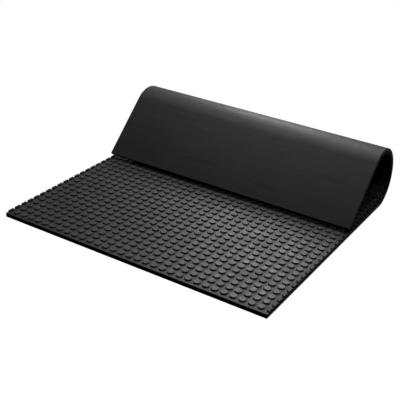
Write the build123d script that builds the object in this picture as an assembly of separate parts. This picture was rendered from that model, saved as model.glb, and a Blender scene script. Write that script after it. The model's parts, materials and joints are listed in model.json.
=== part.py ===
from build123d import *
from math import radians, tan
import os

# A rubber heat mat that lies flat, with its far end folded back over it in a tall open loop.
# Millimetres. X runs along the fold, Y from the front edge towards the fold, Z up.
# The origin is on the floor, in the middle of the folded mat.

# Driving dimensions of the sheet
PITCH = 18.75            # between studs, both ways
COLUMNS = 32             # the mat's width in pitches, from a half stud to a half stud
ROWS = 48                # stud rows along the unfolded mat
SHEET = 9.0              # thickness without the studs
STUD_RADIUS = 7.0
STUD_HEIGHT = 3.0
FRONT_MARGIN = 13.75     # from the front edge to the first row's centres
LENGTH = 914.0           # of the unfolded mat

# The fold: how many hinge lines turn by how many degrees, from the bed to the flap
BED_ROWS = 28
FOLD = ((1, 28.0), (3, 19.0), (6, 13.5), (3, 19.5))
HINGE_GAP = 0.5          # between neighbouring segments of the unfolded mat

# The heating cable between the two covers
CABLE_RADIUS = 1.5
GROOVE_RADIUS = 1.6
CABLE_MARGIN = 20.0      # from the side edge to the straight ends of the cable's runs
CABLE_TURN_RADIUS = 8.0
CABLE_END_GAP = 0.8      # from a hinge line to the end of a segment's cable
GROOVE_OVERRUN = 2.0     # how far a groove runs on past its cable's ends

# The electrical parts beside the cord entry, in a pocket in line with the cable's first run
ENTRY_LINE = 12.25       # from the front edge to the middle of the entry, the pocket and the run
BUSH_RADIUS = 3.2
BUSH_BORE_RADIUS = 2.1
BUSH_LENGTH = 20.0
POCKET = (64.0, 12.0, 4.0)
PART_SPACING = 8.0       # between the bush, the crimps, the cut-out and the cold joint
CORE_SPACING = 4.8
CRIMP_RADIUS = 1.2
CRIMP_LENGTH = 10.0
CUTOUT = (18.0, 5.0, 3.2)
LEAD_RADIUS = 0.5
COLD_JOINT = (12.0, 8.0, 3.6)
SEAL_RADIUS = 2.2
SEAL_LENGTH = 16.0
CUT_THROUGH = 1.0        # how far a hole's cutter runs on past a face

WIDTH = COLUMNS * PITCH
LEFT_EDGE = -WIDTH / 2
HALF_SHEET = SHEET / 2
TURNS = [turn for count, turn in FOLD for _ in range(count)]
STRIPS = len(TURNS) - 1
FLAP_ROWS = ROWS - BED_ROWS - STRIPS
POCKET_START = LEFT_EDGE + BUSH_LENGTH
CABLE_START = POCKET_START + POCKET[0]
SEAL_START = LEFT_EDGE + CABLE_MARGIN


def row_centre(row):
    """Distance from the front edge to a stud row of the unfolded mat."""
    return FRONT_MARGIN + row * PITCH


def hinge_line(index):
    """Distance from the front edge to a hinge line, midway between two stud rows."""
    return row_centre(BED_ROWS + index) - PITCH / 2


class Segment:
    """A rigid length of the mat. It is built unfolded, with Y from the mat's front edge and Z from
    the middle of the sheet, and then put where the fold takes it. hinge_before and hinge_after are
    the numbers of its hinge lines, or None at an end of the mat."""

    def __init__(self, name, rows, place, hinge_before, hinge_after):
        self.name = name
        self.rows = rows
        self.place = place
        self.has_entry = hinge_before is None
        self.has_seal = hinge_after is None
        self.start = 0 if self.has_entry else hinge_line(hinge_before) + HINGE_GAP / 2
        self.end = LENGTH if self.has_seal else hinge_line(hinge_after) - HINGE_GAP / 2
        self.mitre_before = 0 if self.has_entry else mitre(TURNS[hinge_before])
        self.mitre_after = 0 if self.has_seal else mitre(TURNS[hinge_after])


def mitre(turn):
    """How much the stud side shortens at a hinge, so that the ends meet when folded."""
    return HALF_SHEET * tan(radians(turn / 2))


def fold_places():
    """One location for each segment, from the unfolded mat to the folded one."""
    places = [Pos(0, 0, HALF_SHEET)]
    for index, turn in enumerate(TURNS):
        at = hinge_line(index)
        places.append(places[-1] * Pos(0, at, 0) * Rot(turn, 0, 0) * Pos(0, -at, 0))
    return places


def folded_depth(places):
    """How far the back of the fold stands from the front edge."""
    corners = []
    for index, place in enumerate(places[1:-1]):
        ends = (hinge_line(index) + HINGE_GAP / 2, hinge_line(index + 1) - HINGE_GAP / 2)
        corners += [(place * Pos(0, end, -HALF_SHEET)).position.Y for end in ends]
    return max(corners)


def make_segments():
    places = fold_places()
    to_middle = Pos(0, -folded_depth(places) / 2, 0)
    places = [to_middle * place for place in places]
    segments = [Segment("bed", range(BED_ROWS), places[0], None, 0)]
    for index in range(STRIPS):
        rows = [BED_ROWS + index]
        segments.append(Segment(f"fold_{index + 1:02d}", rows, places[index + 1], index, index + 1))
    segments.append(Segment("flap", range(ROWS - FLAP_ROWS, ROWS), places[-1], STRIPS, None))
    return segments


def profile_bar(points):
    """A bar across the mat's whole width, from an outline in Y and Z."""
    return extrude(Plane.YZ * Polygon(*points, align=None), amount=WIDTH / 2, both=True)


def studs(rows):
    """The studs of some rows: whole ones, and half ones that the side edges cut through."""
    made = []
    for row in rows:
        for column in range(COLUMNS + 1):
            at_left = column == 0
            at_edge = at_left or column == COLUMNS
            stud = Cylinder(
                STUD_RADIUS,
                STUD_HEIGHT,
                arc_size=180 if at_edge else 360,
                align=(Align.NONE, Align.NONE, Align.MIN),
            )
            place = Pos(LEFT_EDGE + column * PITCH, row_centre(row), HALF_SHEET)
            made.append(place * Rot(0, 0, -90 if at_left else 90) * stud)
    return made


def cable_points(segment, overrun):
    """The cable's corners: across the mat under each stud row, and on to the next at alternate
    sides. The first run is in line with the cord entry."""
    side = WIDTH / 2 - CABLE_MARGIN
    points = []
    for row in segment.rows:
        across = (-side, side) if row % 2 == 0 else (side, -side)
        points += [(x, row_centre(row)) for x in across]
    if segment.has_entry:
        points[:2] = [(CABLE_START - overrun, ENTRY_LINE), (side, ENTRY_LINE)]
    else:
        start = segment.start - HINGE_GAP / 2 + CABLE_END_GAP - overrun
        points.insert(0, (points[0][0], start))
    if segment.has_seal:
        points[-1] = (SEAL_START + SEAL_LENGTH - overrun, row_centre(ROWS - 1))
    else:
        end = segment.end + HINGE_GAP / 2 - CABLE_END_GAP + overrun
        points.append((points[-1][0], end))
    return points


def cable_run(segment, radius, overrun=0.0):
    """A segment's length of round cable, or the groove for it."""
    path = FilletPolyline(*cable_points(segment, overrun), radius=CABLE_TURN_RADIUS)
    return sweep(Plane(path @ 0, z_dir=path % 0) * Circle(radius), path=path)


def bar_along_x(start, y, radius, length):
    """A round bar towards +X in the middle of the sheet."""
    bar = Cylinder(radius, length, align=(Align.CENTER, Align.CENTER, Align.MIN))
    return Pos(start, y, 0) * Rot(0, 90, 0) * bar


def block_along_x(start, y, size):
    """A block towards +X in the middle of the sheet."""
    return Pos(start, y, 0) * Box(*size, align=(Align.MIN, Align.CENTER, Align.CENTER))


def hollows(segment):
    """Everything that is sunk half into each cover."""
    made = [cable_run(segment, GROOVE_RADIUS, GROOVE_OVERRUN)]
    if segment.has_entry:
        made.append(block_along_x(POCKET_START, ENTRY_LINE, POCKET))
        made.append(
            bar_along_x(
                LEFT_EDGE - CUT_THROUGH,
                ENTRY_LINE,
                BUSH_RADIUS,
                BUSH_LENGTH + 2 * CUT_THROUGH,
            )
        )
    if segment.has_seal:
        clearance = GROOVE_RADIUS - CABLE_RADIUS
        made.append(
            bar_along_x(
                SEAL_START - clearance,
                row_centre(ROWS - 1),
                SEAL_RADIUS + clearance,
                SEAL_LENGTH + 2 * clearance,
            )
        )
    return made


def studded_cover(segment):
    sheet = profile_bar(
        [
            (segment.start, 0),
            (segment.end, 0),
            (segment.end - segment.mitre_after, HALF_SHEET),
            (segment.start + segment.mitre_before, HALF_SHEET),
        ]
    )
    return sheet.cut(*hollows(segment)).fuse(*studs(segment.rows))


def back_cover(segment):
    sheet = profile_bar(
        [
            (segment.start, -HALF_SHEET),
            (segment.end, -HALF_SHEET),
            (segment.end, 0),
            (segment.start, 0),
        ]
    )
    return sheet.cut(*hollows(segment))


def cord_entry_bush():
    """The bush that the supply cord goes into, flush with the side edge."""
    bush = bar_along_x(LEFT_EDGE, ENTRY_LINE, BUSH_RADIUS, BUSH_LENGTH)
    bore = bar_along_x(
        LEFT_EDGE - CUT_THROUGH, ENTRY_LINE, BUSH_BORE_RADIUS, BUSH_LENGTH + 2 * CUT_THROUGH
    )
    return bush - bore


def electrical_parts():
    """The pieces from the bush to the start of the heating cable."""
    live = ENTRY_LINE - CORE_SPACING / 2
    neutral = ENTRY_LINE + CORE_SPACING / 2
    crimps_start = POCKET_START + PART_SPACING
    crimps_end = crimps_start + CRIMP_LENGTH
    cutout_start = crimps_end + PART_SPACING
    cutout_end = cutout_start + CUTOUT[0]
    joint_start = CABLE_START - COLD_JOINT[0]
    crimps = [bar_along_x(crimps_start, y, CRIMP_RADIUS, CRIMP_LENGTH) for y in (live, neutral)]
    return {
        "cord_entry_bush": cord_entry_bush(),
        "lead_crimps": Compound(crimps),
        "cutout_lead_in": bar_along_x(crimps_end, live, LEAD_RADIUS, PART_SPACING),
        "thermal_cutout": block_along_x(cutout_start, live - LEAD_RADIUS, CUTOUT),
        "cutout_lead_out": bar_along_x(cutout_end, live, LEAD_RADIUS, joint_start - cutout_end),
        "bypass_lead": bar_along_x(crimps_end, neutral, LEAD_RADIUS, joint_start - crimps_end),
        "cold_joint": block_along_x(joint_start, ENTRY_LINE, COLD_JOINT),
    }


def end_seal():
    """Closes the twin-core cable's far end."""
    return bar_along_x(SEAL_START, row_centre(ROWS - 1), SEAL_RADIUS, SEAL_LENGTH)


def write_node(name, shape, place):
    export_step(place * shape, f"parts/{name}.step")


def main():
    os.makedirs("parts", exist_ok=True)
    segments = make_segments()
    for segment in segments:
        write_node(f"{segment.name}_studded_cover", studded_cover(segment), segment.place)
        write_node(f"{segment.name}_back_cover", back_cover(segment), segment.place)
        write_node(f"{segment.name}_heating_cable", cable_run(segment, CABLE_RADIUS), segment.place)
    for name, shape in electrical_parts().items():
        write_node(name, shape, segments[0].place)
    write_node("end_seal", end_seal(), segments[-1].place)
    for index, segment in enumerate(segments[1:]):
        hinge = segment.place * Pos(0, hinge_line(index), 0)
        print(segment.name, "hinge at", hinge.position, "turned", TURNS[index])


main()
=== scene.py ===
import json
import math

import bpy
import numpy as np
from mathutils import Matrix, Vector

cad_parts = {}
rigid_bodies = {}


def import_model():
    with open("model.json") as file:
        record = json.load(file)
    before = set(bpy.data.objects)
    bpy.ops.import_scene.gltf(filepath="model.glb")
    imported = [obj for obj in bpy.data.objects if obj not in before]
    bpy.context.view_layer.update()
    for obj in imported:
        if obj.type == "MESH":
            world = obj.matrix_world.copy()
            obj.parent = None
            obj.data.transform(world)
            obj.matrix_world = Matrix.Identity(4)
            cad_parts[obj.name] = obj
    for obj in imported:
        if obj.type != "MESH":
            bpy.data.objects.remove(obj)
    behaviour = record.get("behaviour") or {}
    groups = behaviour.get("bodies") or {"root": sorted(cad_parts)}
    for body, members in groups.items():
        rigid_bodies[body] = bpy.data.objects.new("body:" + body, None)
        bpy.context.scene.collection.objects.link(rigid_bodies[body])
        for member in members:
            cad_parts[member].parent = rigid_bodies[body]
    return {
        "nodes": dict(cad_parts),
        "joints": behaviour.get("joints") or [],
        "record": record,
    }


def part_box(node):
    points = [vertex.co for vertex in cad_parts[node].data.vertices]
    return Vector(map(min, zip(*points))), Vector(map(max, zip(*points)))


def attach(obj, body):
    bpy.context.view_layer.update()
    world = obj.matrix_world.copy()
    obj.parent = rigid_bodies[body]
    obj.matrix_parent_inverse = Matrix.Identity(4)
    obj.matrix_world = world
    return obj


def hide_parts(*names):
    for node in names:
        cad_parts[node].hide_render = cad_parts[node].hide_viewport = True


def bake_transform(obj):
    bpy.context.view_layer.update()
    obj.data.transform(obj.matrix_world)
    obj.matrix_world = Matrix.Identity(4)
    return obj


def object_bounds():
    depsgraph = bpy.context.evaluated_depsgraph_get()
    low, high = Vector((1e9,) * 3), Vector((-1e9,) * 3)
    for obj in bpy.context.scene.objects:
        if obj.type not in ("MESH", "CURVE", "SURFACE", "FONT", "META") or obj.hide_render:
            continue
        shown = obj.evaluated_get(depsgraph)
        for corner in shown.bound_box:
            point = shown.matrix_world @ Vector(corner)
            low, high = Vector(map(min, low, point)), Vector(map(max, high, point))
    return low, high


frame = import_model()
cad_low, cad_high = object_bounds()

# A black rubber heat mat with studs on its upper face. Its far end is folded back over it in an open
# loop. Metres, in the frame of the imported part: X along the fold, Y from the front edge to the fold, Z up.

PITCH = 0.01875              # between studs, both ways
SHEET = 0.009                # thickness without the studs
FRONT_MARGIN = 0.01375       # from the front edge to the first row of studs
ROWS = 48
LENGTH = 0.914               # of the unfolded mat
HALF_SHEET = SHEET / 2
WIDTH = cad_high.x - cad_low.x
COLUMNS = round(WIDTH / PITCH)
FRONT_Y = cad_low.y

# The rings of a stud, from its foot, which is sunk into the sheet, to its flat top: radius, height and
# how much paler the rubber is painted there, partly for rubbing and partly as a painted sheen on the rim
STUD_RINGS = (
    (0.00735, -0.0012, 0.0),
    (0.00735, 0.0000, 0.0),
    (0.00710, 0.0003, 0.0),
    (0.00695, 0.0022, 0.4),
    (0.00680, 0.0027, 1.0),
    (0.00645, 0.0030, 0.4),
    (0.00590, 0.0030, 0.0),
)
STUD_SIDES = 24
STUD_BLOCKS = 4              # pieces that the bed's studs are divided into

EDGE_ROUND = 0.0005          # rounding of the sheet's cut edges
ROUND_STEPS = 3
BEND_STEPS = 12              # facets along the sheet between the middles of two segments
SHARP_ANGLE = math.radians(35)
SHADE_AND_DULL_STRIP = (0.008, 0.012)  # from a side edge, where the painted shade and dulling start to fade and where they end

# The segments of the sheet, from the bed to the flap, and the hinges between them
JOINTS = sorted(frame["joints"], key=lambda joint: joint["name"])
TURNS = [math.radians(joint["range_deg"][1]) for joint in JOINTS]
HINGES = [np.array(joint["pos_m"][1:]) for joint in JOINTS]
BODIES = [JOINTS[0]["parent"]] + [joint["child"] for joint in JOINTS]
BED_ROWS = round((HINGES[0][0] - FRONT_Y - FRONT_MARGIN + PITCH / 2) / PITCH)

# A Mix node's sockets for colours
MIX_FIRST, MIX_SECOND, MIX_RESULT = 6, 7, 2


# ---------------------------------------------------------------- the sheet's course


def row_centre(row):
    """Distance along the sheet from the front edge to a row of studs."""
    return FRONT_MARGIN + row * PITCH


def hinge_along(index):
    """Distance along the sheet to a hinge line, midway between two rows."""
    return row_centre(BED_ROWS + index) - PITCH / 2


def direction(angle):
    """Along the sheet, as Y and Z."""
    return np.array([math.cos(angle), math.sin(angle)])


def inward(angle):
    """From the smooth back towards the studs, as Y and Z."""
    return np.array([-math.sin(angle), math.cos(angle)])


def course(along):
    """The middle of the sheet's thickness at a distance along it, as Y and Z, and the sheet's angle. The
    turn of each hinge is spread evenly over one pitch, half of it on each side of the hinge."""
    angle = 0.0
    for index, (hinge, turn) in enumerate(zip(HINGES, TURNS)):
        past = along - hinge_along(index)
        if past < -PITCH / 2:
            return hinge + past * direction(angle), angle
        if past < PITCH / 2:
            start = hinge - direction(angle) * PITCH / 2
            radius = PITCH / 2 / math.tan(turn / 2)
            here = angle + turn * (past / PITCH + 0.5)
            return start + radius * (inward(angle) - inward(here)), here
        angle += turn
    return HINGES[-1] + past * direction(angle), angle


def rigid(body_index, along, height):
    """A point of a segment taken as rigid, as Y and Z, from its distance along the sheet and its height
    above the middle of the sheet's thickness."""
    if body_index == 0:
        return np.array([FRONT_Y + along, HALF_SHEET + height])
    angle = sum(TURNS[:body_index])
    past = along - hinge_along(body_index - 1)
    return HINGES[body_index - 1] + past * direction(angle) + height * inward(angle)


# ---------------------------------------------------------------- meshes


def new_piece(name, points, faces, flat_places, material):
    """A mesh object. flat_places says where each point lies on the unfolded mat, for the materials."""
    mesh = bpy.data.meshes.new(name)
    mesh.from_pydata([tuple(point) for point in points], [], faces)
    mesh.shade_smooth()
    mesh.set_sharp_from_angle(angle=SHARP_ANGLE)
    place = mesh.attributes.new("flat_place", "FLOAT_VECTOR", "POINT")
    place.data.foreach_set("vector", np.array(flat_places, np.float32).ravel())
    piece = bpy.data.objects.new(name, mesh)
    bpy.context.scene.collection.objects.link(piece)
    piece.data.materials.append(material)
    return piece


def rounding_turns():
    """Angles in even steps over the quarter turn that rounds an edge off."""
    return [math.pi / 2 * step / ROUND_STEPS for step in range(ROUND_STEPS + 1)]


def ply_outline(side, height):
    """One ply's section across the mat, as X and height: from the middle of the sheet out to one face,
    with the two outer corners rounded. side is 1 for the stud side and -1 for the smooth back."""
    edge = WIDTH / 2
    turns = rounding_turns()
    outline = [(-edge, 0.0)]
    for corner, corner_turns in ((-1, turns), (1, turns[::-1])):
        for turn in corner_turns:
            x = corner * (edge - EDGE_ROUND * (1 - math.cos(turn)))
            rise = side * (height - EDGE_ROUND * (1 - math.sin(turn)))
            outline.append((x, rise))
    outline.append((edge, 0.0))
    return outline


def ply_thickness(from_end):
    """Thickness of a ply at a distance from the mat's nearer cut end, which is rounded."""
    if from_end >= EDGE_ROUND:
        return HALF_SHEET
    short = EDGE_ROUND - from_end
    return HALF_SHEET - EDGE_ROUND + math.sqrt(EDGE_ROUND**2 - short**2)


def rounded_end(at, into):
    """Stations along the sheet that round a cut end off. into is the way into the sheet, 1 or -1."""
    return [at + into * EDGE_ROUND * (1 - math.cos(turn)) for turn in rounding_turns()]


def ply(name, side, stations, material):
    """A closed length of one ply of the sheet, through stations along it."""
    points = []
    flat_places = []
    for along in stations:
        thickness = ply_thickness(min(along, LENGTH - along))
        middle, angle = course(along)
        for x, rise in ply_outline(side, thickness):
            y, z = middle + rise * inward(angle)
            points.append((x, y, z))
            flat_places.append((x, along, rise))
    ring = len(points) // len(stations)
    faces = []
    for low in range(0, len(points) - ring, ring):
        for i in range(ring):
            j = (i + 1) % ring
            faces.append((low + i, low + j, low + ring + j, low + ring + i))
    faces.append(tuple(range(ring))[::-1])
    faces.append(tuple(range(len(points) - ring, len(points))))
    if side > 0:
        faces = [face[::-1] for face in faces]
    return new_piece(name, points, faces, flat_places, material)


def stud_mesh(turned, share):
    """Points and faces of a stud, standing on height 0. share is 1 for a whole stud and 0.5 for the half
    that a side edge leaves, which starts at the angle turned."""
    whole = share == 1
    sides = round(STUD_SIDES * share)
    count = sides if whole else sides + 1
    points = []
    for radius, height, _ in STUD_RINGS:
        for i in range(count):
            angle = turned + 2 * math.pi * share * i / sides
            points.append((radius * math.cos(angle), radius * math.sin(angle), height))
    faces = []
    rings = len(STUD_RINGS)
    for ring in range(rings - 1):
        for i in range(sides):
            j = (i + 1) % count
            low, high = ring * count, (ring + 1) * count
            faces.append((low + i, low + j, high + j, high + i))
    faces.append(tuple(range(count))[::-1])
    faces.append(tuple(range((rings - 1) * count, rings * count)))
    if not whole:
        rising = [ring * count for ring in range(rings)]
        falling = [ring * count + count - 1 for ring in reversed(range(rings))]
        faces.append(tuple(rising + falling))
    return points, faces


def stud_group(name, body_index, rows, material):
    """All the studs of some rows of one segment, riding on it."""
    whole = stud_mesh(0.0, 1)
    halves = {0: stud_mesh(-math.pi / 2, 0.5), COLUMNS: stud_mesh(math.pi / 2, 0.5)}
    points = []
    faces = []
    flat_places = []
    rim_wear_and_sheen = []
    for row in rows:
        for column in range(COLUMNS + 1):
            stud_points, stud_faces = halves.get(column, whole)
            middle_x = (column - COLUMNS / 2) * PITCH
            first = len(points)
            for dx, dy, height in stud_points:
                x, along, rise = middle_x + dx, row_centre(row) + dy, HALF_SHEET + height
                y, z = rigid(body_index, along, rise)
                points.append((x, y, z))
                flat_places.append((x, along, rise))
            per_ring = len(stud_points) // len(STUD_RINGS)
            rim_wear_and_sheen += [sheen_and_wear for _, _, sheen_and_wear in STUD_RINGS for _ in range(per_ring)]
            faces += [tuple(first + i for i in face) for face in stud_faces]
    piece = new_piece(name, points, faces, flat_places, material)
    # How much paler each point of a stud is painted: partly rubbing, partly a painted sheen on its rim
    sheen_and_wear = piece.data.attributes.new("rim_wear_and_sheen", "FLOAT", "POINT")
    sheen_and_wear.data.foreach_set("value", np.array(rim_wear_and_sheen, np.float32))
    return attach(piece, BODIES[body_index])


def cut_away(piece, cutter):
    """Takes the cutter's shape out of a piece."""
    modifier = piece.modifiers.new("cut", "BOOLEAN")
    modifier.operation = "DIFFERENCE"
    modifier.solver = "EXACT"
    modifier.object = cutter
    bpy.context.view_layer.update()
    evaluated = piece.evaluated_get(bpy.context.evaluated_depsgraph_get())
    mesh = bpy.data.meshes.new_from_object(evaluated)
    piece.modifiers.clear()
    piece.data = mesh


# ---------------------------------------------------------------- materials


def new_material(name, roughness, specular=0.5):
    material = bpy.data.materials.new(name)
    material.use_nodes = True
    shader = material.node_tree.nodes["Principled BSDF"]
    shader.inputs["Roughness"].default_value = roughness
    shader.inputs["Specular IOR Level"].default_value = specular
    return material, material.node_tree, shader


def add_node(tree, kind, **settings):
    """A node with some of its inputs or properties set."""
    node = tree.nodes.new(kind)
    for name, value in settings.items():
        if name in node.inputs:
            node.inputs[name].default_value = value
        else:
            setattr(node, name, value)
    return node


def noise(tree, place, scale, detail=3.0):
    node = add_node(tree, "ShaderNodeTexNoise", Scale=scale, Detail=detail)
    tree.links.new(place, node.inputs["Vector"])
    return node.outputs["Fac"]


def remap(tree, value, low, high, from_low=0.3, from_high=0.7):
    """Stretches a range of values to low and high. Noise lies mostly between 0.3 and 0.7."""
    node = add_node(tree, "ShaderNodeMapRange")
    node.inputs["From Min"].default_value = from_low
    node.inputs["From Max"].default_value = from_high
    node.inputs["To Min"].default_value = low
    node.inputs["To Max"].default_value = high
    tree.links.new(value, node.inputs["Value"])
    return node.outputs["Result"]


def mix_colour(tree, share, first, second):
    """From the first colour to the second. Each is three numbers or a socket."""
    node = add_node(tree, "ShaderNodeMix", data_type="RGBA")
    for index, colour in ((MIX_FIRST, first), (MIX_SECOND, second)):
        if isinstance(colour, bpy.types.NodeSocket):
            tree.links.new(colour, node.inputs[index])
        else:
            node.inputs[index].default_value = (*colour, 1)
    tree.links.new(share, node.inputs["Factor"])
    return node.outputs[MIX_RESULT]


def bump(tree, height, distance, strength=1.0, after=None):
    """A bump on top of the bump before it, if there is one."""
    node = add_node(tree, "ShaderNodeBump", Distance=distance, Strength=strength)
    tree.links.new(height, node.inputs["Height"])
    if after:
        tree.links.new(after, node.inputs["Normal"])
    return node.outputs["Normal"]


def flat_place(tree):
    return add_node(tree, "ShaderNodeAttribute", attribute_name="flat_place").outputs["Vector"]


def painted_edge_shade(tree, place):
    """1 in the strip along each side edge that is painted darker as shade and given less sheen, 0 elsewhere.
    """
    split = add_node(tree, "ShaderNodeSeparateXYZ")
    tree.links.new(place, split.inputs[0])
    distance = add_node(tree, "ShaderNodeMath", operation="ABSOLUTE")
    tree.links.new(split.outputs["X"], distance.inputs[0])
    full, gone = (WIDTH / 2 - inset for inset in SHADE_AND_DULL_STRIP)
    return remap(tree, distance.outputs[0], 0, 1, gone, full)


def studded_rubber():
    """Moulded black rubber: fine grain, cloudy sheen, stud rims paler from rubbing and a painted sheen,
    side edges darkened as painted shade and with less sheen.
    """
    material, tree, shader = new_material("studded_rubber", 0.5)
    place = flat_place(tree)
    cloud = noise(tree, place, 28.0)
    speck = noise(tree, place, 900.0, 2.0)
    base = mix_colour(tree, remap(tree, cloud, 0, 1), (0.046, 0.046, 0.047), (0.054, 0.054, 0.055))
    sheen_and_wear = add_node(tree, "ShaderNodeAttribute", attribute_name="rim_wear_and_sheen").outputs["Fac"]
    speckled_sheen_and_wear = add_node(tree, "ShaderNodeMath", operation="MULTIPLY")
    tree.links.new(sheen_and_wear, speckled_sheen_and_wear.inputs[0])
    tree.links.new(remap(tree, speck, 0.1, 0.8), speckled_sheen_and_wear.inputs[1])
    # Stud rims painted paler: partly rubbing, partly a painted sheen where light catches the rim
    sheen_and_wear_colour = mix_colour(tree, speckled_sheen_and_wear.outputs[0], base, (0.075, 0.075, 0.076))
    # Painted shade along each side edge: a darker colour there, and less sheen
    edge = painted_edge_shade(tree, place)
    colour = mix_colour(tree, edge, sheen_and_wear_colour, (0.03, 0.03, 0.031))
    tree.links.new(colour, shader.inputs["Base Color"])
    tree.links.new(remap(tree, edge, 0.5, 0.28, 0, 1), shader.inputs["Specular IOR Level"])
    tree.links.new(remap(tree, cloud, 0.44, 0.56), shader.inputs["Roughness"])
    grain = bump(tree, speck, 0.00012, 0.6)
    tree.links.new(bump(tree, noise(tree, place, 160.0), 0.0004, 0.3, grain), shader.inputs["Normal"])
    return material


def back_rubber():
    """Smooth black rubber pressed against cloth in the mould: a faint weave and long soft streaks."""
    material, tree, shader = new_material("back_rubber", 0.55)
    place = flat_place(tree)
    stretch = add_node(tree, "ShaderNodeMapping")
    stretch.inputs["Scale"].default_value = (0.12, 1, 1)
    tree.links.new(place, stretch.inputs["Vector"])
    streaks = noise(tree, stretch.outputs["Vector"], 110.0)
    base = mix_colour(tree, remap(tree, streaks, 0, 1), (0.042, 0.042, 0.043), (0.058, 0.058, 0.059))
    tree.links.new(base, shader.inputs["Base Color"])
    tree.links.new(remap(tree, noise(tree, place, 14.0), 0.5, 0.6), shader.inputs["Roughness"])
    weave = None
    for axis in ("X", "Y"):
        threads = add_node(tree, "ShaderNodeTexWave", bands_direction=axis, Scale=210.0, Distortion=1.2)
        tree.links.new(place, threads.inputs["Vector"])
        weave = bump(tree, threads.outputs["Fac"], 0.00006, 0.5, weave)
    tree.links.new(bump(tree, noise(tree, place, 700.0), 0.0001, 0.4, weave), shader.inputs["Normal"])
    return material


def plain_finish(name, colour, roughness, grain, metallic=0.0):
    """A small inner part's finish: its colour varies a little and its surface has a fine grain."""
    material, tree, shader = new_material(name, roughness)
    shader.inputs["Metallic"].default_value = metallic
    place = add_node(tree, "ShaderNodeTexCoord").outputs["Object"]
    cloud = noise(tree, place, 250.0)
    darker = tuple(0.8 * channel for channel in colour)
    tree.links.new(mix_colour(tree, remap(tree, cloud, 0, 1), darker, colour), shader.inputs["Base Color"])
    tree.links.new(remap(tree, cloud, roughness - 0.06, roughness + 0.06), shader.inputs["Roughness"])
    tree.links.new(bump(tree, noise(tree, place, 2500.0), grain, 0.5), shader.inputs["Normal"])
    return material


def dress_inner_parts():
    """Gives the CAD's cables, leads and electrical parts the finish of their material slot."""
    finishes = {
        "cable_silicone": plain_finish("cable_silicone", (0.35, 0.05, 0.035), 0.42, 0.00003),
        "bush_rubber": plain_finish("bush_rubber", (0.03, 0.03, 0.03), 0.6, 0.00008),
        "crimp_copper": plain_finish("crimp_copper", (0.7, 0.68, 0.64), 0.35, 0.00004, metallic=1.0),
        "lead_sleeve": plain_finish("lead_sleeve", (0.6, 0.6, 0.57), 0.5, 0.00003),
        "cutout_case": plain_finish("cutout_case", (0.7, 0.68, 0.6), 0.45, 0.00004),
        "joint_sleeve": plain_finish("joint_sleeve", (0.03, 0.03, 0.033), 0.38, 0.00003),
    }
    for part in frame["record"]["subparts"]:
        finish = finishes.get(part["material_slot"])
        if finish:
            node = frame["nodes"][part["node"]]
            for slot in node.material_slots:
                slot.material = finish


# ---------------------------------------------------------------- the mat


def bend_stations(index):
    """From the middle of one segment to the middle of the next, across a hinge."""
    start = hinge_along(index) - PITCH / 2
    return [start + PITCH * step / BEND_STEPS for step in range(BEND_STEPS + 1)]


def sheet_plies(label, side, material):
    """One ply of the whole sheet: the bed, a bend across each hinge, and the flap."""
    bed_end = hinge_along(0) - PITCH / 2
    flap_start = hinge_along(len(HINGES) - 1) + PITCH / 2
    bed = ply(f"bed_{label}", side, rounded_end(0, 1) + [bed_end], material)
    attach(bed, BODIES[0])
    for index in range(len(HINGES)):
        stations = bend_stations(index)
        bend = ply(f"bend_{index + 1:02d}_{label}", side, stations, material)
        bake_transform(bend)
        if index < len(HINGES) - 1 and side < 0:
            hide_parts(f"{BODIES[index + 1]}_back_cover")
    flap_stations = [flap_start] + rounded_end(LENGTH, -1)[::-1]
    flap = ply(f"flap_{label}", side, flap_stations, material)
    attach(flap, BODIES[-1])
    return bed, flap


def cord_entry_cutter():
    """The round hole in the left edge that the cord entry bush fills."""
    low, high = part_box("cord_entry_bush")
    middle = (low + high) / 2
    radius = (high.z - low.z) / 2
    bpy.ops.mesh.primitive_cylinder_add(
        vertices=64, radius=radius, depth=2 * (high.x - low.x), rotation=(0, math.pi / 2, 0)
    )
    cutter = bpy.context.object
    cutter.location = (low.x, middle.y, middle.z)
    return cutter


def build_studs(material):
    per_block = BED_ROWS // STUD_BLOCKS
    for block in range(STUD_BLOCKS):
        rows = range(block * per_block, (block + 1) * per_block)
        stud_group(f"bed_studs_{block + 1}", 0, rows, material)
    for index in range(1, len(BODIES) - 1):
        row = BED_ROWS + index - 1
        group = stud_group(f"{BODIES[index]}_studs", index, [row], material)
        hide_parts(f"{BODIES[index]}_studded_cover")
    flap_rows = range(BED_ROWS + len(BODIES) - 2, ROWS)
    stud_group("flap_studs", len(BODIES) - 1, flap_rows, material)


def build_mat():
    studded = studded_rubber()
    back = back_rubber()
    bed_top, flap_top = sheet_plies("studded_sheet", 1, studded)
    bed_back, flap_back = sheet_plies("back_sheet", -1, back)
    cutter = cord_entry_cutter()
    cut_away(bed_top, cutter)
    cut_away(bed_back, cutter)
    bpy.data.objects.remove(cutter)
    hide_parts("bed_back_cover")
    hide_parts("bed_studded_cover")
    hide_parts("flap_back_cover")
    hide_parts("flap_studded_cover")
    build_studs(studded)


# ---------------------------------------------------------------- floor, light and camera


def build_floor():
    """White by itself: it takes no shadow and throws no light on the mat."""
    reach = 8.0
    drop = 0.0002
    corners = [(-reach, -reach, 0), (reach, -reach, 0), (reach, reach, 0), (-reach, reach, 0)]
    mesh = bpy.data.meshes.new("floor")
    mesh.from_pydata(corners, [], [(0, 1, 2, 3)])
    floor = bpy.data.objects.new("floor", mesh)
    floor.location.z = -drop
    bpy.context.scene.collection.objects.link(floor)
    material, _, shader = new_material("white_floor", 0.9, 0.0)
    shader.inputs["Base Color"].default_value = (0, 0, 0, 1)
    shader.inputs["Emission Color"].default_value = (1, 1, 1, 1)
    shader.inputs["Emission Strength"].default_value = 1.0
    floor.data.materials.append(material)
    floor.visible_diffuse = False
    floor.visible_glossy = False


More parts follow.
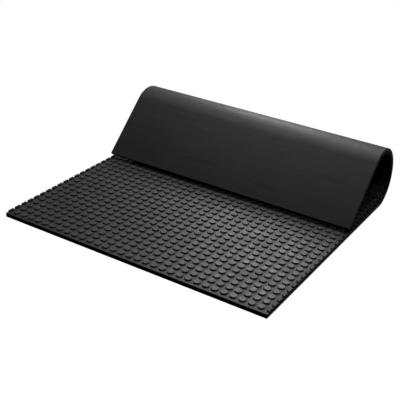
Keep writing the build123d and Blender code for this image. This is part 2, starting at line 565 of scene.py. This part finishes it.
def build_background():
    """White behind the floor's edge, also without throwing light on the mat."""
    world = bpy.data.worlds.new("studio")
    world.use_nodes = True
    background = world.node_tree.nodes["Background"]
    background.inputs["Color"].default_value = (1, 1, 1, 1)
    background.inputs["Strength"].default_value = 1.0
    world.cycles_visibility.diffuse = False
    world.cycles_visibility.glossy = False
    bpy.context.scene.world = world


def area_light(name, place, size, power):
    """A lamp that shines on the middle of the mat."""
    light = bpy.data.lights.new(name, "AREA")
    light.shape = "RECTANGLE"
    light.size, light.size_y = size
    light.energy = power
    lamp = bpy.data.objects.new(name, light)
    lamp.location = place
    lamp.rotation_euler = (Vector((0, 0, 0.05)) - Vector(place)).to_track_quat("-Z", "Y").to_euler()
    lamp.visible_camera = False
    bpy.context.scene.collection.objects.link(lamp)


def build_studio():
    build_floor()
    build_background()
    area_light("low_back_key", (-0.57, 1.5, 1.06), (0.4, 0.4), 7.5)
    area_light("high_back_softbox", (-0.7, 1.8, 1.6), (0.8, 0.6), 7.5)
    area_light("overhead_left_panel", (-0.7, 0.1, 2.0), (1.0, 1.0), 9.5)
    area_light("overhead_right_panel", (0.3, 0.7, 1.6), (0.5, 0.5), 6.2)
    area_light("front_right_fill", (0.7, -0.2, 1.5), (0.5, 0.5), 1.6)
    area_light("low_right_fill", (2.0, 1.3, 0.3), (0.6, 0.4), 7.0)


def build_camera():
    """At the right of the front edge, above the mat and looking across it towards the fold."""
    azimuth, elevation, roll = 30.79, 27.17, 3.19
    to_the_right, before_the_edge, height = 0.790, 1.066, 0.819
    camera = bpy.data.cameras.new("camera")
    camera.sensor_width = 36.0
    camera.lens = 74.75
    seen_from = bpy.data.objects.new("camera", camera)
    seen_from.matrix_world = (
        Matrix.Translation((to_the_right, FRONT_Y - before_the_edge, height))
        @ Matrix.Rotation(math.radians(azimuth), 4, "Z")
        @ Matrix.Rotation(math.radians(90 - elevation), 4, "X")
        @ Matrix.Rotation(math.radians(roll), 4, "Z")
    )
    bpy.context.scene.collection.objects.link(seen_from)
    bpy.context.scene.camera = seen_from
    bpy.context.scene.view_settings.view_transform = "Standard"


build_camera()
build_studio()
build_mat()
dress_inner_parts()
